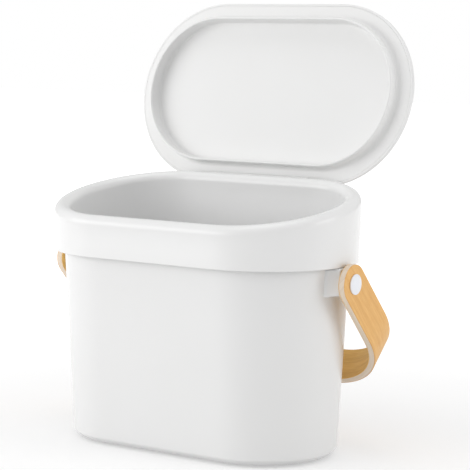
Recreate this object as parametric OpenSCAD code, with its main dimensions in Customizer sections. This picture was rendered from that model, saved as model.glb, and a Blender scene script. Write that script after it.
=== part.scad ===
// Countertop compost caddy: an oblong pail with a sloping rolled rim,
// a two-piece lid hinged at the back and a bent wooden carrying handle.
// Millimetres. The length runs along X, the front faces -Y, the table is Z = 0.
// Everything is drawn with the lid open and the handle hanging down behind.

/* [View] */
// Piece to draw, or all of them

/* [Pail] */
// Length of the straight sides between the round ends
straight_l = 114; // [100:1:130]
// Radius of the round ends at the underside
pail_base_r = 59.5; // [56:0.5:63]
// Slope of the walls
pail_draft = 2.95; // [2:0.05:3.5]
// Thickness of the walls
pail_wall = 2.4; // [2:0.1:3]
// Thickness of the floor
pail_floor = 3; // [2.6:0.1:4]
// Rounding where the wall meets the underside
pail_fillet = 5; // [3:0.5:7]
// Height of the pail's top edge above the table
pail_top = 178; // [172:1:182]
// Outward reach of the snap lip round the top edge
lip_w = 1.5; // [1.2:0.1:1.8]
// Height of the snap lip
lip_h = 3; // [2.5:0.1:3.5]

/* [Rim collar] */
// Depth of the band's lower edge below the pail's top edge
band_bottom = 24.5; // [20:0.5:27]
// Room for the snap hooks between the lip and the band
hook_room = 2.6; // [2.4:0.1:3.4]
// Thickness of the band at its lower edge
band_wall = 2; // [1.8:0.1:2.4]
// Extra thickness of the band at its top
band_flare = 0.5; // [0.3:0.1:0.8]
// Thickness of the inner wall that drops into the pail
inner_wall = 2.1; // [1.8:0.1:2.5]
// Depth of the inner wall's lower edge below the pail's top edge
inner_bottom = 14; // [10:0.5:18]
// Height of the rim's crest above the pail's top edge, halfway between front and back
rim_h = 22; // [19:1:28]
// Slope of the rim, low at the front and high at the back
rim_tilt = 10.76; // [8:0.02:12]
// Thickness of the rolled edge's own wall
roll_wall = 2.5; // [2.2:0.1:3]
// Thickness of the seat ribs inside the band
rib_t = 1.6; // [1.2:0.1:2.2]

/* [Lid] */
// Reach of the lid past the band
lid_overhang = 1; // [0.6:0.1:1.6]
// Air between the closed lid and the rim
lid_gap = 0.3; // [0.2:0.05:0.5]
// Height of the domed cover at its middle
lid_crown = 11; // [10:0.5:14]
// Height of the cover's upright edge
lid_edge = 2.5; // [2:0.1:3]
// Rounding between the cover's edge and its dome
lid_round = 3; // [2.5:0.1:3.5]
// Thickness of the cover
cover_wall = 1.8; // [1.5:0.1:2]
// Thickness of the liner
liner_t = 2; // [1.6:0.1:2.2]
// Depth of the sunken middle of the liner
panel_step = 1.9; // [1.6:0.1:2.2]
// Depth of the plug wall that enters the mouth
plug_depth = 10.3; // [8:0.1:12]
// Thickness of the plug wall
plug_wall = 2.2; // [1.8:0.1:2.6]
// Clearance between the plug wall and the mouth at the ends
plug_gap = 1.1; // [0.9:0.1:2]
// Offset of the plug wall towards the front
plug_shift = 1.2; // [1:0.1:1.4]

/* [Hinge] */
// Angle that the lid opens by
lid_open = 115; // [112:1:116]
// Distance of the pin behind the middle of the rolled edge
hinge_back = 4.3; // [4.2:0.1:4.6]
// Length of the hinge barrel
barrel_l = 103; // [80:1:108]
// Radius of the hinge barrel
barrel_r = 3.5; // [3.2:0.1:3.6]
// Radius of the steel hinge pin
pin_r = 1.5; // [1.2:0.1:1.8]
// Length of the pin in each hinge cheek
pin_grip = 12.5; // [8:0.5:14]

/* [Handle] */
// Depth of the pivots below the band's lower edge
pivot_h = 12.3; // [10.5:0.1:14]
// Width of the wooden strap
strap_w = 30.4; // [28:0.2:31]
// Thickness of the strap
strap_t = 5.8; // [5:0.1:6.5]
// Thickness of each face veneer
veneer_t = 0.6; // [0.4:0.1:0.9]
// Distance from the pivots to the outside of the crossbar
strap_drop = 113; // [111:0.5:122]
// Outside radius of the strap's bends
strap_bend = 61.5; // [50:0.5:66]

/* [Pivots] */
// Reach of the pivot bosses past the band
boss_proud = 1.3; // [1:0.1:2]
// Width of the pivot bosses
boss_w = 26.6; // [24:0.2:30]
// Distance from the pivots down to the bottom of the bosses
boss_drop = 8.6; // [8:0.1:10]
// Radius of the stud's round head
head_r = 8.5; // [7:0.1:10]
// Thickness of the stud's head
head_t = 1.6; // [1.2:0.1:2.4]
// Radius of the stud's shank
shank_r = 4; // [3.5:0.1:4.5]
// Depth of the sockets in the bosses
socket_d = 8; // [6:0.1:8.5]
// Radius of the spacer washers
spacer_r = 9; // [8:0.1:10]
// Thickness of the spacer washers
spacer_t = 1.2; // [0.8:0.1:1.6]
// Radius of the screws that hold the studs
screw_r = 1.6; // [1.3:0.1:1.8]
// Length of the screws under the head
screw_l = 13; // [12:0.5:14.5]

/* [Feet] */
// Height of the pail's underside above the table
stand_h = 2.2; // [1.8:0.1:3]
// Depth of the sockets that the feet sit in
foot_sink = 0.8; // [0.5:0.1:1]
// Inner radius of the curved feet
foot_in_r = 34; // [32:0.5:36]
// Outer radius of the curved feet
foot_out_r = 44.5; // [42:0.5:47]
// Angle where each foot starts, seen from the middle of its round end
foot_from = 40; // [30:1:48]
// Angle that each foot covers
foot_sweep = 48; // [30:1:50]

/* [Hidden] */
$fn = 96;

half_l = straight_l / 2;
band_z = pail_top - band_bottom;
inner_z = pail_top - inner_bottom;
crest_z = pail_top + rim_h;
pivot_z = band_z - pivot_h;
rib_pitch = straight_l / 3.8;
run_gap = 0.06; // radial clearance of a shaft that turns
seat_gap = 0.3; // clearance of faces that pass each other
snug = 0.02; // radial clearance of parts pressed together
far = 400; // more than any size of the caddy

// Pail: radius of the outer wall at a height, and of the inner wall
draft_k = tan(pail_draft);
function pail_r(z) = pail_base_r + (z - stand_h) * draft_k;
function pail_in_r(z) = pail_r(z) - pail_wall / cos(pail_draft);

// Collar: radii of its walls, worked out from the pail it snaps on
tuck_r = pail_in_r(inner_z) - seat_gap;
mouth_r = tuck_r - inner_wall;
channel_r = pail_r(pail_top) + lip_w + hook_room;
band_r = channel_r + band_wall + band_flare;
roll_path_r = (mouth_r + band_r) / 2;
roll_proud = 0.45;
roll_r = (band_r - mouth_r) / 2 + roll_proud;

// Rim plane: it holds the middle of the rolled edge
roll_z = crest_z - roll_r / cos(rim_tilt);
roll_stretch = roll_path_r * (1 / cos(rim_tilt) - 1);
roll_half_w = roll_path_r + roll_stretch;

// Hinge: the pin's place, so that the lid clears the roll by the same gap shut and open
hinge_up = hinge_back / tan(lid_open / 2);
hinge_v = roll_half_w + hinge_back;
hinge_y = hinge_v * cos(rim_tilt) - hinge_up * sin(rim_tilt);
hinge_z = roll_z + hinge_v * sin(rim_tilt) + hinge_up * cos(rim_tilt);
cheek_x = barrel_l / 2 + 0.5;
pin_half_l = cheek_x + pin_grip - 0.5;

// Lid plane: the lid is drawn shut on it and then swung open
lid_z = crest_z + lid_gap / cos(rim_tilt);
lid_hinge_v = hinge_y * cos(rim_tilt) + (hinge_z - lid_z) * sin(rim_tilt);
lid_hinge_w = (hinge_z - lid_z) * cos(rim_tilt) - hinge_y * sin(rim_tilt);
lid_r = band_r + lid_overhang;
liner_r = lid_r - cover_wall - 0.1;
plug_r = mouth_r - roll_proud - plug_gap;
dome_flat = 12;
dome_base = lid_r - lid_round;
dome_run = dome_base - dome_flat;
dome_rise = lid_crown - lid_edge;
dome_r = (dome_run * dome_run + dome_rise * dome_rise - lid_round * lid_round)
  / (2 * (dome_rise - lid_round));

// Pivots: faces along X, from the boss outwards and inwards
boss_x = half_l + band_r + boss_proud;
boss_low = pivot_z - boss_drop;
boss_high = band_z - 0.2;
socket_x = boss_x - socket_d;
pad_x = half_l + pail_in_r(pivot_z) - 1.5;
strap_in_x = boss_x + spacer_t + 0.1;
strap_out_x = strap_in_x + strap_t;
stud_x = strap_out_x + 0.1;
screw_washer_t = 0.8;
screw_washer_r = 5.5;
screw_head_r = 3.6;
screw_head_t = 2.2;

// Handle: it hangs until the crossbar's inner edge meets the pail's back wall
hang_a = strap_drop - strap_t + strap_w / 2 * draft_k;
hang_b = (strap_drop - strap_t) * draft_k - strap_w / 2;
hang_c = pail_r(pivot_z) + seat_gap;
handle_hang = asin(hang_c / sqrt(hang_a * hang_a + hang_b * hang_b)) - atan2(hang_b, hang_a);

// The drawing's middle lies halfway between the front of the rim and the back of the open lid
rim_front_y = -(roll_half_w * cos(rim_tilt) + roll_r);
lid_lean = 90 + rim_tilt - lid_open;
lid_back_y = hinge_y + (dome_base + lid_hinge_v) * -cos(rim_tilt - lid_open)
  + (lid_edge - lid_hinge_w) * cos(lid_lean) + lid_round;
middle_y = (rim_front_y + lid_back_y) / 2;

// ---- Shared forms ----

// Right round end of a form whose profile is drawn as (radius, height)
module round_end() {
  translate([half_l, 0, 0])
    rotate([0, 0, -90])
      rotate_extrude(angle = 180)
        children();
}

// Straight back side of such a form
module straight_side() {
  translate([-half_l, 0, 0])
    rotate([90, 0, 90])
      linear_extrude(straight_l)
        children();
}

// The whole form: the profile swept round both ends and along both sides
module oblong() {
  for (s = [0, 1]) {
    mirror([s, 0, 0])
      round_end()
        children();
    mirror([0, s, 0])
      straight_side()
        children();
  }
}

// Moves a shape drawn on the sloping rim plane into place
module on_rim() {
  translate([0, 0, roll_z])
    rotate([rim_tilt, 0, 0])
      children();
}

// Moves a shape drawn on the shut lid's underside into the open position
module on_lid() {
  translate([0, hinge_y, hinge_z])
    rotate([rim_tilt - lid_open, 0, 0])
      translate([0, -lid_hinge_v, -lid_hinge_w])
        children();
}

// Moves a shape drawn with the pivots along X and the strap hanging straight down
module on_handle() {
  translate([0, 0, pivot_z])
    rotate([handle_hang, 0, 0])
      children();
}

// Round bar along X from one place to another
module bar_x(from, to, r) {
  translate([from, 0, 0])
    rotate([0, 90, 0])
      cylinder(r = r, h = to - from, $fn = 48);
}

// ---- Pail ----

// Round heel between the underside and the leaning wall, centred at (x, z)
module heel(x, z, r) {
  intersection() {
    translate([x, z])
      circle(r = r);
    polygon([
      [x, z],
      [x, z - 2 * r],
      [x + 2 * r, z - 2 * r],
      [x + 2 * r * cos(pail_draft), z - 2 * r * sin(pail_draft)]
    ]);
  }
}

module pail_outline() {
  heel_z = stand_h + pail_fillet;
  heel_x = pail_r(heel_z) - pail_fillet / cos(pail_draft);
  heel(heel_x, heel_z, pail_fillet);
  polygon([
    [0, stand_h],
    [heel_x, stand_h],
    [heel_x, heel_z],
    [heel_x + pail_fillet * cos(pail_draft), heel_z - pail_fillet * sin(pail_draft)],
    [pail_r(pail_top), pail_top],
    [0, pail_top]
  ]);
  translate([pail_r(pail_top) - 1, pail_top - lip_h])
    square([lip_w + 1, lip_h]);
}

module pail_hollow_outline() {
  in_fillet = pail_fillet - 1;
  floor_z = stand_h + pail_floor;
  heel_z = floor_z + in_fillet;
  heel_x = pail_in_r(heel_z) - in_fillet / cos(pail_draft);
  top_z = pail_top + 5;
  heel(heel_x, heel_z, in_fillet);
  polygon([
    [0, floor_z],
    [heel_x, floor_z],
    [heel_x, heel_z],
    [heel_x + in_fillet * cos(pail_draft), heel_z - in_fillet * sin(pail_draft)],
    [pail_in_r(top_z), top_z],
    [0, top_z]
  ]);
}

// Pivot boss on the right end: a block that reaches out past the band
module boss() {
  edge_r = 1.5;
  translate([0, 0, boss_low])
    linear_extrude(boss_high - boss_low) {
      translate([pad_x, -boss_w / 2])
        square([boss_x - edge_r - pad_x, boss_w]);
      translate([pad_x, edge_r - boss_w / 2])
        square([boss_x - pad_x, boss_w - 2 * edge_r]);
      for (s = [-1, 1])
        translate([boss_x - edge_r, s * (boss_w / 2 - edge_r)])
          circle(r = edge_r, $fn = 32);
    }
}

module pail() {
  color("white")
    difference() {
      union() {
        difference() {
          union() {
            oblong()
              pail_outline();
            for (s = [0, 1])
              mirror([s, 0, 0])
                boss();
          }
          oblong()
            pail_hollow_outline();
        }
        for (s = [0, 1])
          mirror([s, 0, 0])
            translate([0, 0, pivot_z])
              bar_x(pad_x, half_l + pail_in_r(pivot_z) + 1, 7);
      }
      for (s = [0, 1])
        mirror([s, 0, 0])
          translate([0, 0, pivot_z]) {
            bar_x(socket_x, boss_x + 5, shank_r + snug);
            bar_x(pad_x - 5, socket_x + 1, screw_r + 0.4);
          }
      oblong()
        square([foot_in_r - 4, stand_h + 1]);
      for (s = [0, 1], t = [0, 1])
        mirror([s, 0, 0])
          mirror([0, t, 0])
            foot_shape(0.1);
    }
}

// ---- Rim collar ----

// Everything below the rim plane, or below a plane w above it
module below_rim(w) {
  on_rim()
    translate([-far / 2, -far / 2, w - far])
      cube(far);
}

module band_outline() {
  polygon([
    [mouth_r, band_z],
    [channel_r + band_wall, band_z],
    [band_r, inner_z],
    [band_r, far],
    [mouth_r, far]
  ]);
}

// Space between the band and the inner wall, open below
module channel_outline() {
  polygon([
    [mouth_r - 1, band_z - 1],
    [channel_r, band_z - 1],
    [channel_r, far],
    [tuck_r + 0.4, far],
    [tuck_r + 0.4, pail_top + 2],
    [tuck_r, pail_top],
    [tuck_r, inner_z],
    [mouth_r - 1, inner_z]
  ]);
}

// Rib that sits on the pail's edge and hooks under its lip
module rib_outline() {
  lip_out_r = pail_r(pail_top) + lip_w;
  lip_low_z = pail_top - lip_h;
  polygon([
    [mouth_r + 0.5, pail_top],
    [lip_out_r + 0.3, pail_top],
    [lip_out_r + 0.3, lip_low_z - 0.1],
    [lip_out_r - 1, lip_low_z - 0.1],
    [lip_out_r - 1, lip_low_z - 1],
    [lip_out_r + 0.4, lip_low_z - 4],
    [channel_r + 0.3, lip_low_z - 4],
    [channel_r + 0.3, far],
    [mouth_r + 0.5, far]
  ]);
}

module seat_ribs() {
  for (s = [0, 1], i = [-1.5 : 1.5])
    mirror([0, s, 0])
      translate([i * rib_pitch - rib_t / 2, 0, 0])
        rotate([90, 0, 90])
          linear_extrude(rib_t)
            rib_outline();
  for (s = [0, 1], a = [-67.5 : 45 : 67.5])
    mirror([s, 0, 0])
      translate([half_l, 0, 0])
        rotate([0, 0, a])
          translate([0, rib_t / 2, 0])
            rotate([90, 0, 0])
              linear_extrude(rib_t)
                rib_outline();
}

// Hollow of the collar, narrower inside the roll so that its wall stays even
module channel() {
  difference() {
    union() {
      intersection() {
        oblong()
          channel_outline();
        below_rim(roll_r / 2 - roll_wall / 2);
      }
      intersection() {
        oblong()
          translate([roll_path_r - roll_r / 3, pail_top - 4])
            square([2 * roll_r / 3, far]);
        below_rim(roll_r - roll_wall - 1);
      }
    }
    seat_ribs();
    translate([-pin_half_l - 14, hinge_y - 18, hinge_z - 13])
      cube([2 * pin_half_l + 28, 30, 30]);
  }
}

// Trough for the hinge barrel, open to the top and the back
module hinge_trough() {
  trough_r = barrel_r + seat_gap;
  translate([0, hinge_y, hinge_z]) {
    bar_x(-cheek_x, cheek_x, trough_r);
    translate([-cheek_x, -trough_r, 0])
      cube([2 * cheek_x, 20, 20]);
    translate([-cheek_x, 0, -trough_r])
      cube([2 * cheek_x, 20, 20]);
  }
}

// Cross-section of the rolled edge, a half round that laps a little over the band
module roll_outline() {
  lap = 0.5;
  intersection() {
    circle(r = roll_r, $fn = 48);
    translate([-roll_r - 1, -lap])
      square([2 * roll_r + 2, roll_r + lap + 1]);
  }
}

// Rolled edge all the way round, lying flat: four corners, two long and two short runs
module roll_ring() {
  for (s = [0, 1], t = [0, 1])
    mirror([s, 0, 0])
      mirror([0, t, 0])
        translate([half_l, roll_stretch, 0])
          rotate_extrude(angle = 90)
            translate([roll_path_r, 0])
              roll_outline();
  for (s = [0, 1]) {
    mirror([0, s, 0])
      translate([0, roll_stretch, 0])
        straight_side()
          translate([roll_path_r, 0])
            roll_outline();
    mirror([s, 0, 0])
      translate([half_l, roll_stretch, 0])
        rotate([90, 0, 0])
          linear_extrude(2 * roll_stretch)
            translate([roll_path_r, 0])
              roll_outline();
  }
}

module rim_collar() {
  color("whitesmoke")
    difference() {
      union() {
        intersection() {
          oblong()
            band_outline();
          below_rim(0);
        }
        on_rim()
          roll_ring();
      }
      channel();
      hinge_trough();
      translate([0, hinge_y, hinge_z])
        bar_x(-pin_half_l - 25, pin_half_l + 0.5, pin_r + snug);
    }
}

module hinge_pin() {
  color("silver")
    translate([0, hinge_y, hinge_z])
      bar_x(-pin_half_l, pin_half_l, pin_r);
}

// ---- Lid ----

module plug_outline() {
  tip_r = plug_wall / 2;
  translate([plug_r - plug_wall, tip_r - plug_depth])
    square([plug_wall, plug_depth - tip_r + panel_step + liner_t]);
  translate([plug_r - tip_r, tip_r - plug_depth])
    circle(r = tip_r, $fn = 32);
}

module lid_liner() {
  web_t = 3.2;
  color("gainsboro")
    on_lid()
      difference() {
        union() {
          difference() {
            oblong()
              square([liner_r, liner_t]);
            translate([0, -plug_shift, -1])
              oblong()
                square([plug_r - 1, liner_t + 2]);
          }
          translate([0, -plug_shift, 0]) {
            oblong()
              plug_outline();
            translate([0, 0, panel_step])
              oblong()
                square([plug_r - 1, liner_t]);
          }
          translate([0, lid_hinge_v, lid_hinge_w])
            bar_x(-barrel_l / 2, barrel_l / 2, barrel_r);
          translate([-barrel_l / 2, liner_r - web_t, lid_hinge_w])
            cube([barrel_l, web_t, 1 - lid_hinge_w]);
        }
        translate([0, lid_hinge_v, lid_hinge_w])
          bar_x(-barrel_l, barrel_l, pin_r + run_gap);
      }
}

// Half outline of the domed cover, with its outer faces moved in by t
module dome_outline(t) {
  square([dome_flat, lid_crown - t]);
  intersection() {
    translate([dome_flat, lid_crown - dome_r])
      circle(r = dome_r - t, $fn = 720);
    translate([dome_flat, 0])
      union() {
        square([dome_run * (dome_r - t) / (dome_r - lid_round), lid_crown]);
        square([dome_run + lid_round - t, lid_edge]);
        translate([dome_run, lid_edge])
          circle(r = lid_round - t, $fn = 48);
      }
  }
}

module lid_cover() {
  color("white")
    on_lid()
      difference() {
        oblong()
          dome_outline(0);
        translate([0, 0, -1])
          oblong()
            square([lid_r - cover_wall, liner_t + 1]);
        oblong()
          intersection() {
            dome_outline(cover_wall);
            square([lid_r - cover_wall - 2, lid_crown]);
          }
      }
}

// ---- Handle ----

// Front outline of the strap's outside, moved in by t
module strap_outline(t) {
  w = strap_out_x - t;
  d = strap_drop - t;
  r = strap_bend - t;
  translate([-w, r - d])
    square([2 * w, d - r + strap_w]);
  translate([r - w, -d])
    square([2 * (w - r), d]);
  for (s = [-1, 1])
    translate([s * (w - r), r - d])
      circle(r = r);
}

// Layer of the strap between two depths from its outside
module strap_layer(from, to) {
  on_handle()
    difference() {
      intersection() {
        translate([0, strap_w, 0])
          rotate([90, 0, 0])
            linear_extrude(2 * strap_w)
              difference() {
                strap_outline(from);
                strap_outline(to);
              }
        union() {
          bar_x(-strap_out_x - 1, strap_out_x + 1, strap_w / 2);
          translate([-strap_out_x - 1, -strap_w / 2, -strap_drop - 1])
            cube([2 * strap_out_x + 2, strap_w, strap_drop + 1]);
        }
      }
      bar_x(-strap_out_x - 5, strap_out_x + 5, shank_r + run_gap);
    }
}

module handle_core() {
  color("burlywood")
    strap_layer(veneer_t, strap_t - veneer_t);
}

module handle_outer_veneer() {
  color("sandybrown")
    strap_layer(0, veneer_t);
}

module handle_inner_veneer() {
  color("peru")
    strap_layer(strap_t - veneer_t, strap_t);
}

// ---- Pivots, drawn for the right side and mirrored for the left ----

module pivot_stud(s) {
  color("ivory")
    mirror([s, 0, 0])
      translate([0, 0, pivot_z])
        difference() {
          union() {
            bar_x(socket_x + 0.5, stud_x + 0.5, shank_r);
            translate([stud_x, 0, 0])
              rotate([0, 90, 0])
                rotate_extrude()
                  polygon([[0, 0], [head_r, 0], [head_r, head_t - 0.5], [head_r - 0.5, head_t], [0, head_t]]);
          }
          bar_x(socket_x, pad_x + screw_l + 1, screw_r + snug);
        }
}

module spacer_washer(s) {
  color("gray")
    mirror([s, 0, 0])
      translate([0, 0, pivot_z])
        difference() {
          bar_x(boss_x, boss_x + spacer_t, spacer_r);
          bar_x(boss_x - 1, boss_x + spacer_t + 1, shank_r + run_gap);
        }
}

module stud_screw(s) {
  under_head = pad_x - screw_washer_t;
  color("silver")
    mirror([s, 0, 0])
      translate([0, 0, pivot_z])
        difference() {
          union() {
            bar_x(under_head - 0.5, under_head + screw_l, screw_r);
            bar_x(under_head - screw_head_t, under_head, screw_head_r);
          }
          translate([under_head - screw_head_t - 1, 0, 0])
            rotate([0, 90, 0])
              cylinder(r = 1.7, h = 2.2, $fn = 6);
        }
}

module screw_washer(s) {
  color("silver")
    mirror([s, 0, 0])
      translate([0, 0, pivot_z])
        difference() {
          bar_x(pad_x - screw_washer_t, pad_x, screw_washer_r);
          bar_x(pad_x - 5, pad_x + 5, screw_r + 0.2);
        }
}

// ---- Feet ----

// Curved pad under the right end of the back, grown by g on every side
module foot_shape(g) {
  end_a = asin(g / foot_in_r);
  translate([half_l, 0, 0])
    rotate([0, 0, foot_from - end_a])
      rotate_extrude(angle = foot_sweep + 2 * end_a)
        translate([foot_in_r - g, 0])
          square([foot_out_r - foot_in_r + 2 * g, stand_h + foot_sink]);
}

module foot(s, t) {
  color("dimgray")
    mirror([s, 0, 0])
      mirror([0, t, 0])
        foot_shape(0);
}

// ---- Assembly ----

translate([0, -middle_y, 0]) {
  pail();
  rim_collar();
  hinge_pin();
  lid_liner();
  lid_cover();
  handle_core();
  handle_outer_veneer();
  handle_inner_veneer();
  pivot_stud(1);  // pivot_stud_left
  pivot_stud(0);  // pivot_stud_right
  spacer_washer(1);  // spacer_washer_left
  spacer_washer(0);  // spacer_washer_right
  stud_screw(1);  // stud_screw_left
  stud_screw(0);  // stud_screw_right
  screw_washer(1);  // screw_washer_left
  screw_washer(0);  // screw_washer_right
  foot(1, 1);  // foot_front_left
  foot(0, 1);  // foot_front_right
  foot(1, 0);  // foot_back_left
  foot(0, 0);  // foot_back_right
}
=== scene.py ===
import math

import bmesh
import bpy
from mathutils import Matrix, Vector


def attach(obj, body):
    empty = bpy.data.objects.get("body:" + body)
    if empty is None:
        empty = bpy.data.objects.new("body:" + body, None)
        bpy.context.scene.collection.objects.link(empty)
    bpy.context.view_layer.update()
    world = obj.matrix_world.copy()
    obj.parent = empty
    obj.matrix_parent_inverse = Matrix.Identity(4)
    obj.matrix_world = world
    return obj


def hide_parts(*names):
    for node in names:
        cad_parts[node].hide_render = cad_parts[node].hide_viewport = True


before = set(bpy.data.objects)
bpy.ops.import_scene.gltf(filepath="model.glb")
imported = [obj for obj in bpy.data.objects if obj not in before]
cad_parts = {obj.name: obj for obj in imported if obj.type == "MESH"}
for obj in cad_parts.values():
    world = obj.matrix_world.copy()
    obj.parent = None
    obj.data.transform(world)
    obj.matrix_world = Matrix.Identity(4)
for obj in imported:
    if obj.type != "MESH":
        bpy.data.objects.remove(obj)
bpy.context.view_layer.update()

# ---- Sizes of the caddy in millimetres ----
#
# They are the construction's sizes, but for four forms that were set by the photo: the plug
# ring (construction: radius 61.485, shift 1.2), the pivot heads (construction: radius 8.5),
# the pivot bosses, narrower here (construction: half width 13.3) and flared into the wall,
# and the pail's base edge, a soft slope here (construction: fillet of 5).

MM = 0.001
MIDDLE_Y = 21.304  # the caddy's middle is this far in front of the frame's origin
HALF_L = 57.0  # half of the straight sides; the round ends are centred there

# Pail
STAND_H = 2.2  # the feet lift the bottom by this
DRAFT = math.radians(2.95)
FOOT_OF_WALL_R = 59.5
PAIL_WALL = 2.4
PAIL_FLOOR = 3.0
PAIL_TOP = 178.0
LIP_W = 1.5
LIP_H = 3.0

# Rim collar
BAND_LOW = 153.5
BAND_LOW_R = 74.66
INNER_LOW = 164.0
MOUTH_R = 63.035
TUCK_R = 65.135
CHANNEL_R = 72.66
RIM_TILT = math.radians(10.76)
ROLL_R = 6.512
ROLL_PATH_R = 69.097
ROLL_Z = 193.371
RIB_T = 1.6
RIB_PITCH = 30.0

# Hinge and lid
HINGE_Y = 72.81
HINGE_Z = 209.996
CHEEK_X = 52.0
BARREL_X = 51.5
LID_OPEN = math.radians(115)
LID_R = 76.16
LINER_R = 74.26
LINER_T = 2.0
PLUG_R = 62.15
PLUG_SHIFT = 0.35
HINGE_V = 73.339  # the pin, drawn from the shut lid's underside: along it and off it
HINGE_W = -4.073

# Handle and its pivots
PIVOT_H = 141.2
HANG = math.radians(43.265)
BOSS_X = 133.459
SPACER_T = 1.2
STUD_X = 140.659
STUD_R = 4.0
STUD_HEAD_R = 7.95
STRAP_W = 30.4
STRAP_T = 5.8
VENEER_T = 0.6
STRAP_OUT_X = 140.559
STRAP_DROP = 113.0
STRAP_BEND = 61.5
STRAP_L = 2 * (STRAP_DROP - STRAP_BEND) + STRAP_BEND * math.pi + 2 * (STRAP_OUT_X - STRAP_BEND)


# ---- Frames of the lid, the rim and the handle ----

def metres(x, y, z):
    return Vector((x * MM, (y - MIDDLE_Y) * MM, z * MM))


def on_lid(x, v, w):
    """A point drawn on the shut lid's underside, moved to the open lid."""
    a = RIM_TILT - LID_OPEN
    dv, dw = v - HINGE_V, w - HINGE_W
    return metres(x, HINGE_Y + dv * math.cos(a) - dw * math.sin(a),
                  HINGE_Z + dv * math.sin(a) + dw * math.cos(a))


def on_handle(x, y, z):
    """A point drawn with the strap hanging straight down, moved to where it hangs."""
    return metres(x, y * math.cos(HANG) - z * math.sin(HANG),
                  PIVOT_H + y * math.sin(HANG) + z * math.cos(HANG))


# ---- Outlines and skins ----

def arc(cx, cy, r, start, end, steps):
    """Points on an arc, angles in degrees, both ends included."""
    out = []
    for i in range(steps + 1):
        a = math.radians(start + (end - start) * i / steps)
        out.append((cx + r * math.cos(a), cy + r * math.sin(a)))
    return out


def rounded(corners, steps=6):
    """An open outline whose corners (x, y, radius) are rounded, with a short
    straight lead into each rounding so that the flats stay flat when smooth."""
    out = []
    last = len(corners) - 1
    for i, (x, y, r) in enumerate(corners):
        here = Vector((x, y))
        if i in (0, last) or r == 0:
            out.append(here)
            continue
        to_prev = (Vector(corners[i - 1][:2]) - here).normalized()
        to_next = (Vector(corners[i + 1][:2]) - here).normalized()
        half = to_prev.angle(to_next) / 2
        reach = r / math.tan(half)
        centre = here + (to_prev + to_next).normalized() * (r / math.sin(half))
        a = here + to_prev * reach - centre
        b = here + to_next * reach - centre
        lead = min(0.25, 0.3 * r)
        turn = math.atan2(a.x * b.y - a.y * b.x, a.dot(b))
        out.append(here + to_prev * (reach + lead))
        for k in range(steps + 1):
            t = turn * k / steps
            out.append(centre + Vector((a.x * math.cos(t) - a.y * math.sin(t),
                                        a.x * math.sin(t) + a.y * math.cos(t))))
        out.append(here + to_next * (reach + lead))
    return [(p.x, p.y) for p in out]


def stations(corner_steps, run_steps):
    """Places round an oblong: (how far along the half length, from -1 to 1, and angle)."""
    out = []
    for sign, start in ((1, -90), (-1, 90)):
        for i in range(2 * corner_steps + 1):
            out.append((sign, math.radians(start + 90 * i / corner_steps)))
        for i in range(1, run_steps):
            out.append((sign * (1 - 2 * i / run_steps), math.radians(start + 180)))
    return out


def skin(name, rings, closed_profile=False, cap=False):
    """Skins neighbouring rings of points with quads and closes seams and poles."""
    mesh = bpy.data.meshes.new(name)
    bm = bmesh.new()
    rows = [[bm.verts.new(p) for p in ring] for ring in rings]
    pairs = list(zip(rows, rows[1:]))
    if closed_profile:
        pairs.append((rows[-1], rows[0]))
    n = len(rows[0])
    for low, high in pairs:
        for i in range(n):
            j = (i + 1) % n
            bm.faces.new((low[i], low[j], high[j], high[i]))
    if cap:
        for row in (rows[0], rows[-1]):
            bm.faces.new(row)
    bmesh.ops.remove_doubles(bm, verts=bm.verts, dist=2e-6)
    bmesh.ops.recalc_face_normals(bm, faces=bm.faces)
    bm.to_mesh(mesh)
    bm.free()
    obj = bpy.data.objects.new(name, mesh)
    bpy.context.scene.collection.objects.link(obj)
    return obj


def smooth(obj, angle):
    """Smooth shading, but for edges that turn by more than the angle in degrees."""
    obj.data.shade_smooth()
    obj.data.set_sharp_from_angle(angle=math.radians(angle))
    return obj


def oblong_skin(name, outline, place, corner_steps, run_steps):
    """An outline of (radius, height) or (radius, height, shift) swept round an oblong. It
    starts and ends at radius 0, where the two sides meet along the middle line."""
    rings = []
    for p in outline:
        shift = p[2] if len(p) > 2 else 0.0
        rings.append([place(u * HALF_L + p[0] * math.cos(a), shift + p[0] * math.sin(a), p[1])
                      for u, a in stations(corner_steps, run_steps)])
    return skin(name, rings)


def lathe(name, outline, place, steps):
    """An outline of (radius, height along the axis) turned about the axis."""
    rings = [[place(r * math.cos(2 * math.pi * i / steps), r * math.sin(2 * math.pi * i / steps), h)
              for i in range(steps)] for r, h in outline]
    return skin(name, rings)


def joined(name, objs):
    """One mesh of several, each a closed shell."""
    bm = bmesh.new()
    for o in objs:
        bm.from_mesh(o.data)
        bpy.data.objects.remove(o)
    mesh = bpy.data.meshes.new(name)
    bm.to_mesh(mesh)
    bm.free()
    obj = bpy.data.objects.new(name, mesh)
    bpy.context.scene.collection.objects.link(obj)
    return obj


def cut(obj, cutter):
    """Takes the cutter's space out of a piece."""
    tool = obj.modifiers.new("opening", "BOOLEAN")
    tool.object = cutter
    tool.operation = "DIFFERENCE"
    tool.solver = "EXACT"
    settle(obj)
    bpy.data.objects.remove(cutter)


def settle(obj):
    """Turns a piece's modifiers into its plain mesh."""
    shape = obj.evaluated_get(bpy.context.evaluated_depsgraph_get())
    mesh = bpy.data.meshes.new_from_object(shape)
    obj.modifiers.clear()
    obj.data = mesh


# ---- Shader node groups ----

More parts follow.
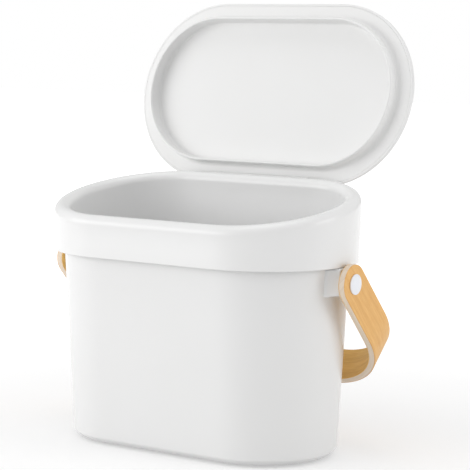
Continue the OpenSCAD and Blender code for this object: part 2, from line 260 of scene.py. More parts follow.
class Nodes:
    """Short hand for making and linking nodes in a tree."""

    def __init__(self, tree):
        self.tree = tree

    def add(self, kind, **sets):
        node = self.tree.nodes.new(kind)
        for key, value in sets.items():
            setattr(node, key, value)
        return node

    def link(self, a, b):
        self.tree.links.new(a, b)

    def math(self, op, a, b=None, c=None):
        node = self.add("ShaderNodeMath", operation=op)
        for i, v in enumerate((a, b, c)):
            if v is not None:
                self.feed(node.inputs[i], v)
        return node.outputs[0]

    def noise(self, vector, scale, detail, rough, distortion=0.0):
        node = self.add("ShaderNodeTexNoise")
        self.feed(node.inputs["Vector"], vector)
        self.feed(node.inputs["Scale"], scale)
        node.inputs["Detail"].default_value = detail
        node.inputs["Roughness"].default_value = rough
        node.inputs["Distortion"].default_value = distortion
        return node.outputs["Fac"]

    def feed(self, socket, value):
        if isinstance(value, bpy.types.NodeSocket):
            self.link(value, socket)
        else:
            socket.default_value = value

    def range(self, value, a, b, lo, hi, smooth_step=False):
        node = self.add("ShaderNodeMapRange")
        if smooth_step:
            node.interpolation_type = "SMOOTHSTEP"
        self.feed(node.inputs["Value"], value)
        for key, v in (("From Min", a), ("From Max", b), ("To Min", lo), ("To Max", hi)):
            self.feed(node.inputs[key], v)
        return node.outputs["Result"]

    def mix(self, fac, a, b, blend="MIX"):
        node = self.add("ShaderNodeMix", data_type="RGBA", blend_type=blend)
        colour_a, colour_b, result = node.inputs[6], node.inputs[7], node.outputs[2]
        self.feed(node.inputs["Factor"], fac)
        self.feed(colour_a, a)
        self.feed(colour_b, b)
        return result


def group(name, inputs, outputs):
    """A shader node group with named sockets: (name, kind, default)."""
    tree = bpy.data.node_groups.new(name, "ShaderNodeTree")
    for label, kind, default in inputs:
        s = tree.interface.new_socket(label, in_out="INPUT", socket_type="NodeSocket" + kind)
        if default is not None:
            s.default_value = default
    for label, kind in outputs:
        tree.interface.new_socket(label, in_out="OUTPUT", socket_type="NodeSocket" + kind)
    n = Nodes(tree)
    return n, n.add("NodeGroupInput").outputs, n.add("NodeGroupOutput").inputs


def moulded_skin_group():
    """Injection-moulded plastic: a broad faint flow of tint, a fine skin, rare faint specks."""
    n, gin, gout = group("moulded_skin", [
        ("Vector", "Vector", None), ("Colour", "Color", (0.8, 0.8, 0.8, 1)),
        ("Tint", "Color", (0.7, 0.7, 0.66, 1)), ("Flow", "Float", 0.35),
        ("Grain Size", "Float", 900.0), ("Roughness", "Float", 0.35)],
        [("Colour", "Color"), ("Roughness", "Float"), ("Height", "Float")])
    broad = n.noise(gin["Vector"], 14.0, 2.0, 0.45, 0.3)
    fine = n.noise(gin["Vector"], gin["Grain Size"], 2.0, 0.6)
    streak = n.noise(gin["Vector"], 60.0, 4.0, 0.65, 0.8)
    amount = n.math("MULTIPLY", n.range(broad, 0.38, 0.68, 0.0, 1.0, True), gin["Flow"])
    base = n.mix(amount, gin["Colour"], gin["Tint"])
    specks = n.add("ShaderNodeTexVoronoi")
    n.link(gin["Vector"], specks.inputs["Vector"])
    specks.inputs["Scale"].default_value = 75.0
    dot = n.range(specks.outputs["Distance"], 0.012, 0.022, 0.15, 0.0)
    rare = n.range(specks.outputs["Color"], 0.96, 0.97, 0.0, 1.0)
    base = n.mix(n.math("MULTIPLY", dot, rare), base, (0.45, 0.44, 0.42, 1))
    n.link(base, gout["Colour"])
    rough = n.math("ADD", gin["Roughness"], n.range(streak, 0.3, 0.7, -0.006, 0.008))
    n.link(n.math("ADD", rough, n.range(fine, 0.3, 0.7, -0.01, 0.01)), gout["Roughness"])
    n.link(fine, gout["Height"])
    return n.tree


def wood_group():
    """Bent veneer: the pattern's X runs along the grain, in metres."""
    n, gin, gout = group("veneer_grain", [
        ("Vector", "Vector", None), ("Light", "Color", (0.8, 0.6, 0.3, 1)),
        ("Dark", "Color", (0.6, 0.4, 0.15, 1)), ("Rings", "Float", 160.0),
        ("Pores", "Float", 0.5), ("Roughness", "Float", 0.5)],
        [("Colour", "Color"), ("Roughness", "Float"), ("Height", "Float")])
    along = n.add("ShaderNodeMapping")
    along.inputs["Scale"].default_value = (0.045, 1.0, 1.0)
    n.link(gin["Vector"], along.inputs["Vector"])
    bend = n.noise(along.outputs[0], 45.0, 2.0, 0.5)
    warped = n.add("ShaderNodeVectorMath", operation="MULTIPLY_ADD")
    n.link(bend, warped.inputs[0])
    warped.inputs[1].default_value = (0.0, 0.006, 0.0)
    n.link(along.outputs[0], warped.inputs[2])
    bands = n.noise(warped.outputs[0], gin["Rings"], 4.0, 0.62)
    fibres = n.noise(warped.outputs[0], 1900.0, 3.0, 0.7)
    flecks = n.add("ShaderNodeTexVoronoi")
    flecks.inputs["Scale"].default_value = 700.0
    n.link(along.outputs[0], flecks.inputs["Vector"])
    fleck = n.range(flecks.outputs["Distance"], 0.05, 0.22, 1.0, 0.0, True)
    fleck = n.math("MULTIPLY", fleck, n.range(bands, 0.42, 0.62, 0.0, 1.0, True))
    fleck = n.math("MULTIPLY", fleck, gin["Pores"])
    base = n.mix(n.range(bands, 0.34, 0.70, 0.0, 1.0, True), gin["Light"], gin["Dark"])
    base = n.mix(n.range(fibres, 0.35, 0.75, 0.0, 0.35), base, gin["Dark"], "MULTIPLY")
    base = n.mix(n.math("MULTIPLY", fleck, 0.5), base, gin["Dark"], "MULTIPLY")
    n.link(base, gout["Colour"])
    rough = n.math("ADD", gin["Roughness"], n.range(fibres, 0.3, 0.7, -0.06, 0.08))
    n.link(rough, gout["Roughness"])
    depth = n.math("SUBTRACT", n.math("MULTIPLY", fibres, 0.5), fleck)
    n.link(depth, gout["Height"])
    return n.tree


MOULDED = moulded_skin_group()
GRAIN = wood_group()


def material(name, tree, sets, bump, vector="Object", metallic=0.0):
    """A Principled material fed by one of the groups."""
    mat = bpy.data.materials.new(name)
    mat.use_nodes = True
    n = Nodes(mat.node_tree)
    bsdf = mat.node_tree.nodes["Principled BSDF"]
    bsdf.inputs["Metallic"].default_value = metallic
    where = n.add("ShaderNodeTexCoord").outputs[vector]
    g = n.add("ShaderNodeGroup")
    g.node_tree = tree
    n.link(where, g.inputs["Vector"])
    for key, value in sets.items():
        g.inputs[key].default_value = value
    n.link(g.outputs["Colour"], bsdf.inputs["Base Color"])
    n.link(g.outputs["Roughness"], bsdf.inputs["Roughness"])
    b = n.add("ShaderNodeBump")
    b.inputs["Distance"].default_value = bump
    b.inputs["Strength"].default_value = 1.0
    n.link(g.outputs["Height"], b.inputs["Height"])
    n.link(b.outputs["Normal"], bsdf.inputs["Normal"])
    return mat


PAIL_WHITE = material("pail_white", MOULDED, {
    "Colour": (0.86, 0.86, 0.858, 1), "Tint": (0.845, 0.845, 0.838, 1), "Roughness": 0.25,
    "Grain Size": 420.0}, bump=0.000001)
COLLAR_WHITE = material("collar_white", MOULDED, {
    "Colour": (0.87, 0.87, 0.868, 1), "Tint": (0.855, 0.855, 0.848, 1), "Roughness": 0.25,
    "Grain Size": 420.0}, bump=0.000001)
LID_WHITE = material("lid_white", MOULDED, {
    "Colour": (0.86, 0.86, 0.856, 1), "Tint": (0.845, 0.845, 0.836, 1), "Roughness": 0.36,
    "Grain Size": 520.0}, bump=0.0000015)
STUD_WHITE = material("stud_white", MOULDED, {
    "Colour": (0.90, 0.92, 0.965, 1), "Tint": (0.885, 0.905, 0.95, 1), "Roughness": 0.24,
    "Grain Size": 600.0}, bump=0.000001)
WASHER_GREY = material("washer_grey", MOULDED, {
    "Colour": (0.55, 0.55, 0.55, 1), "Tint": (0.48, 0.48, 0.48, 1), "Roughness": 0.5},
    bump=0.000005)
FOOT_RUBBER = material("foot_rubber", MOULDED, {
    "Colour": (0.16, 0.16, 0.165, 1), "Tint": (0.22, 0.22, 0.215, 1), "Flow": 0.8,
    "Grain Size": 1800.0, "Roughness": 0.78}, bump=0.00006)
STEEL = material("screw_steel", MOULDED, {
    "Colour": (0.58, 0.57, 0.55, 1), "Tint": (0.45, 0.44, 0.42, 1), "Flow": 0.6,
    "Grain Size": 2600.0, "Roughness": 0.3}, bump=0.00002, metallic=1.0)
VENEER = material("outer_veneer", GRAIN, {
    "Light": (0.90, 0.545, 0.19, 1), "Dark": (0.81, 0.455, 0.14, 1), "Rings": 240.0,
    "Pores": 0.5, "Roughness": 0.46}, vector="UV", bump=0.00005)
# Painted light: the same veneer as the outer face, with its colour raised to brighten the inner
# face, which lies in shade.
INNER_VENEER_LIT = material("inner_veneer", GRAIN, {
    "Light": (0.92, 0.59, 0.18, 1), "Dark": (0.78, 0.47, 0.13, 1), "Rings": 240.0,
    "Pores": 0.5, "Roughness": 0.5}, vector="UV", bump=0.00005)
PLY_EDGE = material("ply_edge", GRAIN, {
    "Light": (0.90, 0.78, 0.65, 1), "Dark": (0.83, 0.70, 0.56, 1), "Rings": 500.0,
    "Pores": 0.25, "Roughness": 0.6}, vector="UV", bump=0.00004)


def finish_with(obj, mat, slot, body, *nodes):
    """Gives a piece its material and its body, and hides the nodes it stands for; the slot is not
    used.
    """
    obj.data.materials.clear()
    obj.data.materials.append(mat)
    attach(obj, body)
    if nodes:
        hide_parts(*nodes)


# ---- Pail ----

def pail_r(z):
    """Radius of the wall's outer face at a height."""
    return FOOT_OF_WALL_R + (z - STAND_H) * math.tan(DRAFT)


def pail_in_r(z):
    """Radius of the wall's inner face at a height."""
    return pail_r(z) - PAIL_WALL / math.cos(DRAFT)


def make_pail():
    lip_low = PAIL_TOP - LIP_H
    lip_r = pail_r(PAIL_TOP) + LIP_W
    floor_z = STAND_H + PAIL_FLOOR
    recess_r, recess_z = 30, STAND_H + 1
    slope_w, slope_z = 4.2, STAND_H + 3.8
    outline = [(0, recess_z)] + rounded([
        (recess_r - 1, recess_z, 0), (recess_r, recess_z, 0.3), (recess_r, STAND_H, 0.3),
        (FOOT_OF_WALL_R - slope_w, STAND_H, 2.0), (pail_r(slope_z), slope_z, 2.6),
        (pail_r(lip_low), lip_low, 0.6), (lip_r, lip_low, 0.5), (lip_r, PAIL_TOP, 0.6),
        (pail_in_r(PAIL_TOP), PAIL_TOP, 0.5), (pail_in_r(floor_z), floor_z, 4.0),
        (20, floor_z, 0)], steps=8) + [(0, floor_z)]
    shell = oblong_skin("pail_shell", outline, metres, 28, 16)
    parts = [shell]
    for s in (-1, 1):
        parts.append(make_boss(s))
        parts.append(make_screw_pad(s))
    pail = smooth(joined("pail_body", parts), 32)
    finish_with(pail, PAIL_WHITE, "pail_plastic", "bin", "pail")


def make_boss(s):
    """The block that carries a pivot: a row of rounded boxes along X, each (x, inset, flare),
    flared where the block leaves the wall and rounded at its outer face."""
    half_y, z_low, z_high, corner = 10.4, PIVOT_H - 8.9, BAND_LOW - 0.2, 2.2
    in_wall_x, wall_x, edge = 121.5, 124.4, 1.5
    boxes = [(in_wall_x, 0, 4.4)]
    for i in range(9):
        t = i / 8
        boxes.append((wall_x + (BOSS_X - edge - wall_x - 0.4) * t, 0,
                      2.4 * (1 - t) + 1.3 * (1 - t) ** 4))
    for t in [math.radians(18 * i) for i in range(6)]:
        boxes.append((BOSS_X - edge + edge * math.sin(t), edge * (1 - math.cos(t)), 0))
    rings = []
    for x, inset, flare in boxes:
        hy, lo, hi = half_y - inset + flare, z_low + inset - 0.3 * flare, z_high - inset
        r = corner - inset
        ring = []
        for cy, cz, start in ((hy - r, hi - r, 0), (-hy + r, hi - r, 90),
                              (-hy + r, lo + r, 180), (hy - r, lo + r, 270)):
            ring += [metres(s * x, y, z) for y, z in arc(cy, cz, r, start, start + 90, 5)]
        rings.append(ring)
    return skin("boss", rings, cap=True)


def make_screw_pad(s):
    """The round pad inside the pail that the stud's screw bears on."""
    x0, x1, r = 119.76, 121.9, 7.0
    outline = [(0, x1)] + rounded([(r, x1, 0), (r, x0, 0.5), (1, x0, 0)], 4) + [(0, x0)]
    return lathe("screw_pad", outline,
                 lambda a, b, h: metres(s * h, a, PIVOT_H + b), 48)


# ---- Rim collar ----

def roll_point(u, a, phi):
    """A point of the rolled edge's section at one place round the rim."""
    t = math.tan(RIM_TILT)
    centre = Vector((u * HALF_L + ROLL_PATH_R * math.cos(a), ROLL_PATH_R * math.sin(a), 0))
    centre.z = ROLL_Z + centre.y * t
    along = Vector((-math.sin(a), math.cos(a), math.cos(a) * t)).normalized()
    up = Vector((0, -math.sin(RIM_TILT), math.cos(RIM_TILT)))
    out = along.cross(up)
    return centre + out * (ROLL_R * math.cos(phi)) + up * (ROLL_R * math.sin(phi))


def ease(p0, d0, p1, d1, steps):
    """Points of a smooth curve from p0 to p1 that leaves along d0 and arrives along d1."""
    out = []
    for i in range(1, steps):
        t = i / steps
        h0 = (1 + 2 * t) * (1 - t) ** 2
        h1 = t * (1 - t) ** 2
        h2 = t * t * (3 - 2 * t)
        h3 = t * t * (t - 1)
        out.append(p0 * h0 + d0 * h1 + p1 * h2 + d1 * h3)
    return out


ROLL_STEPS = 28


def trough_path(x, u, a):
    """The section's outer upper quarter where the hinge trough is cut, at one X."""
    r, outer_y = 3.8, 75.55
    top = roll_point(u, a, math.radians(92))
    wall = rounded([(HINGE_Y - r - 2.5, top.z + 0.04, 0), (HINGE_Y - r, top.z, 0.5),
                    (HINGE_Y - r, HINGE_Z, 0)], 4)
    floor = rounded([(HINGE_Y, HINGE_Z - r, 0), (outer_y, HINGE_Z - r, 0.5),
                     (outer_y + 0.03, HINGE_Z - r - 1.4, 0)], 4)
    curve = arc(HINGE_Y, HINGE_Z, r, 180, 270, 8)
    return [Vector((x, y, z)) for y, z in wall[1:] + curve[1:-1] + floor[:-1]]


def collar_section(u, a, cut_back):
    """The collar's closed section at one place round the rim, from the band's foot."""
    def at(r, z):
        return Vector((u * HALF_L + r * math.cos(a), r * math.sin(a), z))
    radial = Vector((math.cos(a), math.sin(a), 0))
    roll_out = roll_point(u, a, 0)
    roll_in = roll_point(u, a, math.pi)
    up = Vector((0, -math.sin(RIM_TILT), math.cos(RIM_TILT)))
    z_plane = roll_out.z
    low = [at(*p) for p in rounded([(CHANNEL_R + 0.3, BAND_LOW, 0), (BAND_LOW_R, BAND_LOW, 0.7),
                                    (BAND_LOW_R + 0.06, BAND_LOW + 4, 0)], 4)]
    start = low[-1]
    span = z_plane - start.z
    lift = Vector((radial.x * 0.012, radial.y * 0.012, 1)) * span
    pts = low + ease(start, lift, roll_out, up * span * 0.75, 14)
    full = [roll_point(u, a, math.radians(90 * i / ROLL_STEPS)) for i in range(ROLL_STEPS + 1)]
    if cut_back:
        path = list(reversed(trough_path(full[0].x, u, a)))
        while len(path) < len(full):
            longest = max(range(len(path) - 1), key=lambda i: (path[i + 1] - path[i]).length)
            path.insert(longest + 1, (path[longest] + path[longest + 1]) / 2)
        pts += path[:len(full)]
    else:
        pts += full
    pts += [roll_point(u, a, math.radians(90 + 90 * i / 12)) for i in range(1, 13)]
    foot = [at(*p) for p in rounded([(MOUTH_R, INNER_LOW + 3, 0), (MOUTH_R, INNER_LOW, 0.7),
                                     (TUCK_R, INNER_LOW, 0.7), (TUCK_R, INNER_LOW + 3, 0)], 4)]
    drop = roll_in.z - foot[0].z
    pts += ease(roll_in, up * -drop * 0.75, foot[0], Vector((0, 0, -drop)), 8)
    pts += foot
    roof = z_plane + 1.6
    pts += [at(TUCK_R, PAIL_TOP), at(TUCK_R + 0.4, roof - 1.5), at(TUCK_R + 1.9, roof),
            at(CHANNEL_R - 1.5, roof), at(CHANNEL_R, roof - 1.5), at(CHANNEL_R, BAND_LOW + 0.4),
            at(CHANNEL_R + 0.3, BAND_LOW)]
    return pts[:-1]


def collar_places():
    """Places round the rim, with the hinge cheeks' faces put in: (u, angle, trough cut)."""
    out = []
    back, face = math.radians(90), 0.004
    for u, a in stations(28, 16):
        if abs(a - back) < 1e-6 and abs(u) < 1:
            continue
        out.append((u, a, False))
        if abs(a - back) < 1e-6 and u == 1:
            k = CHEEK_X / HALF_L
            out.append((k + face, a, False))
            out.append((k, a, False))
            out += [(k - 2 * k * i / 16, a, True) for i in range(17)]
            out.append((-k, a, False))
            out.append((-k - face, a, False))
    return out


def make_collar():
    sections = [collar_section(*p) for p in collar_places()]
    rings = [[metres(*section[i]) for section in sections] for i in range(len(sections[0]))]
    collar = smooth(skin("rim_collar_smooth", rings, closed_profile=True), 35)
    finish_with(collar, COLLAR_WHITE, "collar_plastic", "bin", "rim_collar")


def rib_tree():
    """Sets one rib plate out at its sixteen places round the rim, tops raised to the slope.
    Ribs 0 to 7 stand along the back and front runs, 8 to 15 round the two ends."""
    tree = bpy.data.node_groups.new("seat_rib_ring", "GeometryNodeTree")
    socket = tree.interface.new_socket
    socket("Geometry", in_out="OUTPUT", socket_type="NodeSocketGeometry")
    socket("Rib", in_out="INPUT", socket_type="NodeSocketGeometry")
    for label, kind, default in (("Half Length", "Float", HALF_L * MM),
                                 ("Pitch", "Float", RIB_PITCH * MM),
                                 ("Slope", "Float", 0.19), ("Top From", "Float", 0.18),
                                 ("Middle Y", "Float", MIDDLE_Y * MM),
                                 ("Finish", "Material", None)):
        s = socket(label, in_out="INPUT", socket_type="NodeSocket" + kind)
        if default is not None:
            s.default_value = default
    n = Nodes(tree)
    gin, gout = n.add("NodeGroupInput").outputs, n.add("NodeGroupOutput").inputs
    points = n.add("GeometryNodePoints")
    points.inputs["Count"].default_value = 16
    i = n.add("GeometryNodeInputIndex").outputs[0]
    four = n.math("MODULO", i, 4.0)
    far_side = n.math("MODULO", n.math("FLOOR", n.math("DIVIDE", i, 4.0)), 2.0)
    on_end = n.math("GREATER_THAN", i, 7.5)
    run_x = n.math("MULTIPLY", n.math("SUBTRACT", four, 1.5), gin["Pitch"])
    end_x = n.math("MULTIPLY", n.math("SUBTRACT", 1.0, n.math("MULTIPLY", far_side, 2.0)),
                   gin["Half Length"])
    step = n.math("MULTIPLY", n.math("MULTIPLY_ADD", four, 0.25, -0.875), math.pi)
    turn = n.math("MULTIPLY_ADD", far_side, math.pi, n.math("MULTIPLY", step, on_end))
    place = n.add("ShaderNodeCombineXYZ")
    n.link(n.math("ADD", run_x, n.math("MULTIPLY", on_end, n.math("SUBTRACT", end_x, run_x))),
           place.inputs["X"])
    n.link(n.math("MULTIPLY", gin["Middle Y"], -1.0), place.inputs["Y"])
    n.link(place.outputs[0], points.inputs["Position"])
    spin = n.add("ShaderNodeCombineXYZ")
    n.link(turn, spin.inputs["Z"])
    ring = n.add("GeometryNodeInstanceOnPoints")
    n.link(points.outputs[0], ring.inputs["Points"])
    n.link(gin["Rib"], ring.inputs["Instance"])
    n.link(spin.outputs[0], ring.inputs["Rotation"])
    real = n.add("GeometryNodeRealizeInstances")
    n.link(ring.outputs[0], real.inputs[0])
    where = n.add("ShaderNodeSeparateXYZ")
    n.link(n.add("GeometryNodeInputPosition").outputs[0], where.inputs[0])
    rise = n.math("MULTIPLY", n.math("ADD", where.outputs["Y"], gin["Middle Y"]), gin["Slope"])
    lift = n.add("ShaderNodeCombineXYZ")
    n.link(n.math("MULTIPLY", rise, n.math("GREATER_THAN", where.outputs["Z"], gin["Top From"])),
           lift.inputs["Z"])
    move = n.add("GeometryNodeSetPosition")
    n.link(real.outputs[0], move.inputs["Geometry"])
    n.link(lift.outputs[0], move.inputs["Offset"])
    paint = n.add("GeometryNodeSetMaterial")
    n.link(move.outputs[0], paint.inputs["Geometry"])
    n.link(gin["Finish"], paint.inputs["Material"])
    n.link(paint.outputs[0], gout["Geometry"])
    return tree


def make_seat_ribs():
    """Ribs in the collar's hollow that sit on the pail's edge and hook under its lip."""
    lip_r = pail_r(PAIL_TOP) + LIP_W
    low = PAIL_TOP - LIP_H
    top = ROLL_Z + 2.2
    seat = PAIL_TOP + 0.05
    side = [(MOUTH_R + 0.8, seat), (lip_r + 0.3, seat), (lip_r + 0.3, low - 0.1),
            (lip_r - 1, low - 0.1), (lip_r - 1, low - 1), (lip_r + 0.4, low - 4),
            (CHANNEL_R + 0.3, low - 4), (CHANNEL_R + 0.3, top), (MOUTH_R + 0.8, top)]
    rings = [[Vector((x * MM, r * MM, z * MM)) for r, z in side]
             for x in (-RIB_T / 2, RIB_T / 2)]
    ribs = skin("seat_ribs", rings, cap=True)
    tree = rib_tree()
    name = {s.name: s.identifier for s in tree.interface.items_tree if s.in_out == "INPUT"}
    mod = ribs.modifiers.new("ring", "NODES")
    mod.node_group = tree
    mod[name["Pitch"]] = RIB_PITCH * MM
    mod[name["Slope"]] = math.tan(RIM_TILT)
    mod[name["Top From"]] = (PAIL_TOP + 5) * MM
    mod[name["Finish"]] = COLLAR_WHITE
    settle(ribs)
    finish_with(smooth(ribs, 20), COLLAR_WHITE, "collar_plastic", "bin")


# ---- Lid ----

def make_lid_cover():
    """The thin outer skin: an upright edge, a rounded shoulder and a soft dome with a flat top."""
    edge, crown, wall, shoulder, flat = 2.5, 11.0, 1.8, 3.0, 12.0
    base = LID_R - shoulder
    run, rise = base - flat, crown - edge
    r = (run * run + rise * rise - shoulder * shoulder) / (2 * (rise - shoulder))
    lean = math.asin(run / (r - shoulder))

    def dome(t, steps):
        """The dome at depth t below its outer face, from the shoulder to the flat top."""
        angles = [lean * (1 - i / steps) for i in range(steps + 1)]
        return [(flat + (r - t) * math.sin(a), crown - r + (r - t) * math.cos(a)) for a in angles]

    outer = rounded([(LID_R - wall, 0, 0), (LID_R, 0, 0.6), (LID_R, edge, 0)], 5)
    outer += arc(base, edge, shoulder, 0, 90 - math.degrees(lean), 10)[1:]
    outer += dome(0, 22)[1:] + [(0, crown)]
    ledge_r, ledge_z = LID_R - wall - 2, 2.0
    inner = [(0, crown - wall)] + [p for p in reversed(dome(wall, 14)) if p[0] < ledge_r]
    inner += [(ledge_r, ledge_z), (LID_R - wall, ledge_z)]
    cover = smooth(oblong_skin("lid_cover_smooth", inner + outer, on_lid, 32, 14), 40)
    finish_with(cover, LID_WHITE, "lid_plastic", "lid", "lid_cover")


def make_lid_liner():
    tip, step = 1.1, 1.9
    in_r = PLUG_R - 2.2
    flange = rounded([(LINER_R - 3, 0, 0), (LINER_R, 0, 0.25), (LINER_R, LINER_T, 0.3),
                      (LINER_R - 3, LINER_T, 0)], 3)
    ring_out = [(PLUG_R + p[0], p[1]) for p in rounded([(6.4, 0, 0), (0, 0, 3.2), (0, -8, 0)], 10)]
    ring_in = rounded([(in_r, -7, 0), (in_r, step, 2.2), (in_r - 12, step, 0)], 8)
    crest = arc(PLUG_R - tip, tip - 10.3, tip, 0, -180, 14)
    shift = -PLUG_SHIFT
    outline = [(0, step, shift), (20, step, shift)]
    outline += [(p[0], p[1], shift) for p in reversed(ring_in)]
    outline += [(p[0], p[1], shift) for p in reversed(crest)]
    outline += [(p[0], p[1], shift) for p in reversed(ring_out)]
    outline += [(p[0], p[1], 0) for p in flange]
    outline += [(PLUG_R + 1, LINER_T, shift), (PLUG_R, step + LINER_T, shift),
                (in_r - 12, step + LINER_T, shift), (0, step + LINER_T, shift)]
    tray = oblong_skin("liner_tray", outline, on_lid, 32, 14)
    liner = smooth(joined("lid_liner_smooth", [tray, make_barrel()]), 40)
    finish_with(liner, LID_WHITE, "lid_plastic", "lid", "lid_liner")


def make_barrel():
    """The hinge barrel and the web that joins it to the lid."""
    r, web = 3.5, 3.2
    web_in = LINER_R - web
    top = 1.0
    section = [(LINER_R, top), (LINER_R, HINGE_W + math.sqrt(r * r - (LINER_R - HINGE_V) ** 2))]
    a0 = math.degrees(math.atan2(section[1][1] - HINGE_W, LINER_R - HINGE_V))
    a1 = math.degrees(math.acos((web_in - HINGE_V) / r))
    section += arc(HINGE_V, HINGE_W, r, a0, a1 - 360, 40)[1:] + [(web_in, top)]
    xs = [(-BARREL_X, 0.4), (-BARREL_X + 0.12, 0.12), (-BARREL_X + 0.4, 0)]
    xs += [(-BARREL_X * (1 - i / 8), 0) for i in range(1, 16)]
    xs += [(-x, t) for x, t in reversed(xs[:3])]
    rings = []
    for x, inset in xs:
        k = 1 - inset / r
        rings.append([on_lid(x, HINGE_V + (v - HINGE_V) * k,
                             HINGE_W + (w - HINGE_W) * (k if w < HINGE_W + r else 1))
                      for v, w in section])
    return skin("barrel", rings, cap=True)


# ---- Handle ----

def strap_line(s, depth):
    """A point of the strap's middle line at a depth below its outer face; s runs along the
    strap from one pivot to the other."""
    arm = STRAP_DROP - STRAP_BEND
    bend = STRAP_BEND * math.pi / 2
    side = 1
    if s > STRAP_L / 2:
        s, side = STRAP_L - s, -1
    if s < arm:
        p, out = (STRAP_OUT_X, -s), (1, 0)
    elif s < arm + bend:
        t = (s - arm) / STRAP_BEND
        c = (STRAP_OUT_X - STRAP_BEND, -arm)
        out = (math.cos(t), -math.sin(t))
        p = (c[0] + STRAP_BEND * out[0], c[1] + STRAP_BEND * out[1])
    else:
        p, out = (STRAP_OUT_X - STRAP_BEND - (s - arm - bend), -STRAP_DROP), (0, -1)
    return side * (p[0] - depth * out[0]), p[1] - depth * out[1]


def strap_layer(name, outline, mat, slot, node):
    """One layer of the strap: outline of (inset from the edge, depth) round the strap."""
    half = STRAP_L / 2
    places = stations(14, 120)
    rings, flat = [], []
    bore_r, beyond = STUD_R + 0.08, 150
    for inset, depth in outline:
        r = STRAP_W / 2 - inset
        row, line = [], []
        for u, a in places:
            s, y = half + u * half + r * math.cos(a), r * math.sin(a)
            x, z = strap_line(s, depth)
            row.append(on_handle(x, y, z))
            line.append((s * MM, y * MM + depth * MM))
        rings.append(row)
        flat.append(line)
    mesh = bpy.data.meshes.new(name)
    n = len(places)
    faces = []
    for k in range(len(rings) - 1):
        for i in range(n):
            j = (i + 1) % n
            faces.append((k * n + i, k * n + j, (k + 1) * n + j, (k + 1) * n + i))
    mesh.from_pydata([p for ring in rings for p in ring], [], faces)
    uv = mesh.uv_layers.new(name="along_the_strap")
    where = [p for line in flat for p in line]
    for loop in mesh.loops:
        uv.data[loop.index].uv = where[loop.vertex_index]
    bm = bmesh.new()
    bm.from_mesh(mesh)
    bmesh.ops.remove_doubles(bm, verts=bm.verts, dist=2e-6)
    bmesh.ops.recalc_face_normals(bm, faces=bm.faces)
    bm.to_mesh(mesh)
    bm.free()
    obj = bpy.data.objects.new(name, mesh)
    bpy.context.scene.collection.objects.link(obj)
    cut(obj, lathe("bore", [(0, -beyond), (bore_r, -beyond), (bore_r, beyond), (0, beyond)],
                   lambda a, b, h: metres(h, a, PIVOT_H + b), 48))
    smooth(obj, 40)
    finish_with(obj, mat, slot, "handle", node)


def make_handle():
    mid = STRAP_W / 2
    v, t = VENEER_T, STRAP_T
    outer = [(mid, 0), (mid - 5, 0), (1.2, 0)] + rounded(
        [(1.0, 0, 0), (0, 0, 0.5), (0, v, 0)], 5)[1:] + [(1.0, v), (mid, v)]
    core = [(mid, v), (1.0, v), (0.1, v), (0.1, v + 0.15)]
    core += [(0.02, v + 0.5), (0, v + 1.2), (0, t - v - 1.2), (0.02, t - v - 0.5),
             (0.1, t - v - 0.15), (0.1, t - v), (1.0, t - v), (mid, t - v)]
    inner = [(mid, t - v), (1.0, t - v)] + rounded(
        [(0, t - v, 0), (0, t, 0.5), (1.0, t, 0)], 5) + [(1.2, t), (mid - 5, t), (mid, t)]
    strap_layer("handle_outer_face", outer, VENEER, "veneer_wood", "handle_outer_veneer")
    strap_layer("handle_plies", core, PLY_EDGE, "wood", "handle_core")
    strap_layer("handle_inner_face", inner, INNER_VENEER_LIT, "veneer_wood", "handle_inner_veneer")


# ---- Pivots, screws and feet ----

def make_pivots():
    for name, s in (("left", -1), ("right", 1)):
        def along_x(a, b, h, s=s):
            return metres(s * h, a, PIVOT_H + b)
        sock, head = BOSS_X - 7.5, STUD_X
        face = [(STUD_HEAD_R * math.sin(t), head + 0.85 + 0.75 * math.cos(t))
                for t in [math.radians(84 * i / 10) for i in range(10, -1, -1)]]
        stud = [(0, sock + 9), (1.62, sock + 9), (1.62, sock), (STUD_R - 0.3, sock),
                (STUD_R, sock + 0.3), (STUD_R, head - 0.02), (STUD_R + 0.02, head),
                (STUD_HEAD_R - 0.3, head), (STUD_HEAD_R - 0.08, head + 0.08),
                (STUD_HEAD_R, head + 0.3), (STUD_HEAD_R, head + 0.7)] + face
        obj = smooth(lathe("pivot_cap_" + name, stud, along_x, 72), 40)
        finish_with(obj, STUD_WHITE, "stud_plastic", "bin", "pivot_stud_" + name)
        x0, x1 = BOSS_X, BOSS_X + SPACER_T
        hole, rim, mid = STUD_R + 0.06, 9.0, (x0 + x1) / 2
        ring = rounded([(hole, mid, 0), (hole, x0, 0.2), (rim, x0, 0.3), (rim, x1, 0.3),
                        (hole, x1, 0.2), (hole, mid, 0)], 3)
        obj = smooth(lathe("spacer_" + name, ring, along_x, 64), 40)
        finish_with(obj, WASHER_GREY, "washer_plastic", "bin", "spacer_washer_" + name)


def make_feet():
    """Curved pads under the round ends, with a rounded lower edge."""
    in_r, out_r, start, sweep = 34.0, 44.5, 40, 48
    outline = rounded([(in_r, STAND_H, 0), (in_r, 0, 0.7), (out_r, 0, 0.7), (out_r, STAND_H, 0)], 4)
    for end, s in (("left", -1), ("right", 1)):
        for side, t in (("front", -1), ("back", 1)):
            rings = []
            for i in range(33):
                a = math.radians(start + sweep * i / 32)
                rings.append([metres(s * (HALF_L + r * math.cos(a)), t * r * math.sin(a), z)
                              for r, z in outline])
            name = "foot_" + side + "_" + end
            obj = skin(name + "_pad", rings, cap=True)
            finish_with(smooth(obj, 40), FOOT_RUBBER, "foot_rubber", "bin", name)


def paint_small_parts():
    """Steel on the pin and the screws, whose solids stay as they are."""
    for name in ("hinge_pin", "stud_screw_left", "stud_screw_right",
                 "screw_washer_left", "screw_washer_right"):
        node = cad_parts[name]
        node.data.materials.clear()
        node.data.materials.append(STEEL)


make_pail()
make_collar()
make_seat_ribs()
make_lid_cover()
make_lid_liner()
make_handle()
make_pivots()
make_feet()
paint_small_parts()


# ---- Floor, light and camera ----

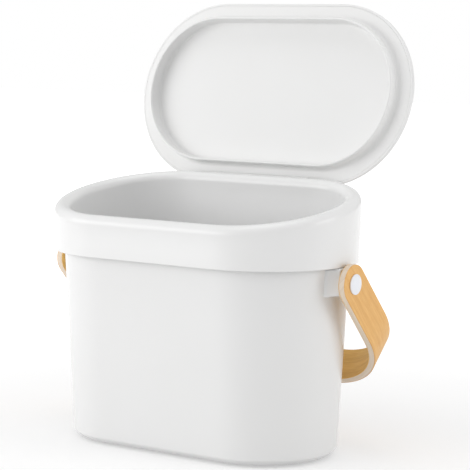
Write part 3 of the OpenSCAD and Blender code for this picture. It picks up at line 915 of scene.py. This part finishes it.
def make_floor():
    """A plain pale floor that glows brighter with distance where the camera or a reflection
    sees it, so that no far edge shows."""
    mesh = bpy.data.meshes.new("floor")
    half = 6.0
    near, far, dim, bright = 0.15, 1.2, 0.455, 0.9
    mesh.from_pydata([(-half, -half, 0), (half, -half, 0), (half, half, 0), (-half, half, 0)],
                     [], [(0, 1, 2, 3)])
    floor = bpy.data.objects.new("floor", mesh)
    bpy.context.scene.collection.objects.link(floor)
    mat = bpy.data.materials.new("pale_floor")
    mat.use_nodes = True
    n = Nodes(mat.node_tree)
    bsdf = mat.node_tree.nodes["Principled BSDF"]
    bsdf.inputs["Roughness"].default_value = 0.9
    path = n.add("ShaderNodeLightPath")
    seen = n.math("MAXIMUM", path.outputs["Is Camera Ray"], path.outputs["Is Glossy Ray"])
    seen = n.math("MAXIMUM", seen, path.outputs["Is Transmission Ray"])
    where = n.add("ShaderNodeTexCoord").outputs["Object"]
    reach = n.add("ShaderNodeVectorMath", operation="LENGTH")
    n.link(where, reach.inputs[0])
    glow = n.range(reach.outputs["Value"], near, far, dim, bright, True)
    shade = n.mix(seen, (0.85, 0.85, 0.85, 1), (0.55, 0.55, 0.55, 1))
    n.link(shade, bsdf.inputs["Base Color"])
    n.link(n.math("MULTIPLY", seen, glow), bsdf.inputs["Emission Strength"])
    bsdf.inputs["Emission Color"].default_value = (1, 1, 1, 1)
    mesh.materials.append(mat)


def make_world():
    """Even light from all sides, brighter where the camera looks past the floor."""
    world = bpy.data.worlds.new("studio")
    bpy.context.scene.world = world
    world.use_nodes = True
    n = Nodes(world.node_tree)
    back = world.node_tree.nodes["Background"]
    back.inputs["Color"].default_value = (1, 1, 1, 1)
    path = n.add("ShaderNodeLightPath")
    seen = n.math("MAXIMUM", path.outputs["Is Camera Ray"], path.outputs["Is Transmission Ray"])
    n.link(n.range(seen, 0.0, 1.0, 0.6, 1.0), back.inputs["Strength"])


def make_lamp(name, size, power, place, target):
    """A rectangular lamp at a place, turned to face its target."""
    data = bpy.data.lights.new(name, "AREA")
    data.shape = "RECTANGLE"
    data.size, data.size_y = size
    data.energy = power
    lamp = bpy.data.objects.new(name, data)
    bpy.context.scene.collection.objects.link(lamp)
    lamp.location = place
    lamp.rotation_euler = (Vector(target) - Vector(place)).to_track_quat("-Z", "Y").to_euler()


def make_camera():
    """The camera, its lens, place and axes as they were fitted to the photograph."""
    data = bpy.data.cameras.new("photo_camera")
    data.sensor_width = 36.0
    data.lens = 143.63
    data.clip_end = 30
    cam = bpy.data.objects.new("photo_camera", data)
    bpy.context.scene.collection.objects.link(cam)
    right = Vector((0.82319092, 0.56768453, 0.00953839))
    up = Vector((-0.07108314, 0.08637981, 0.99372316))
    back = Vector((0.56329734, -0.8187019, 0.11145988))
    cam.matrix_world = Matrix.Translation((0.8643, -1.2346, 0.3362)) @ Matrix(
        (right, up, back)).transposed().to_4x4()
    bpy.context.scene.camera = cam


make_floor()
make_world()
make_lamp("key_window", (2.4, 1.3), 24.0, (-1.6, -1.8, 0.65), (0, 0, 0.18))
make_lamp("side_fill", (1.0, 1.0), 9.0, (2.0, 0.55, 0.6), (0, 0, 0.18))
make_lamp("top_softbox", (1.7, 1.7), 13.3, (0.0, -0.1, 2.6), (0, 0, 0.1))
make_camera()
bpy.context.scene.view_settings.view_transform = "Standard"
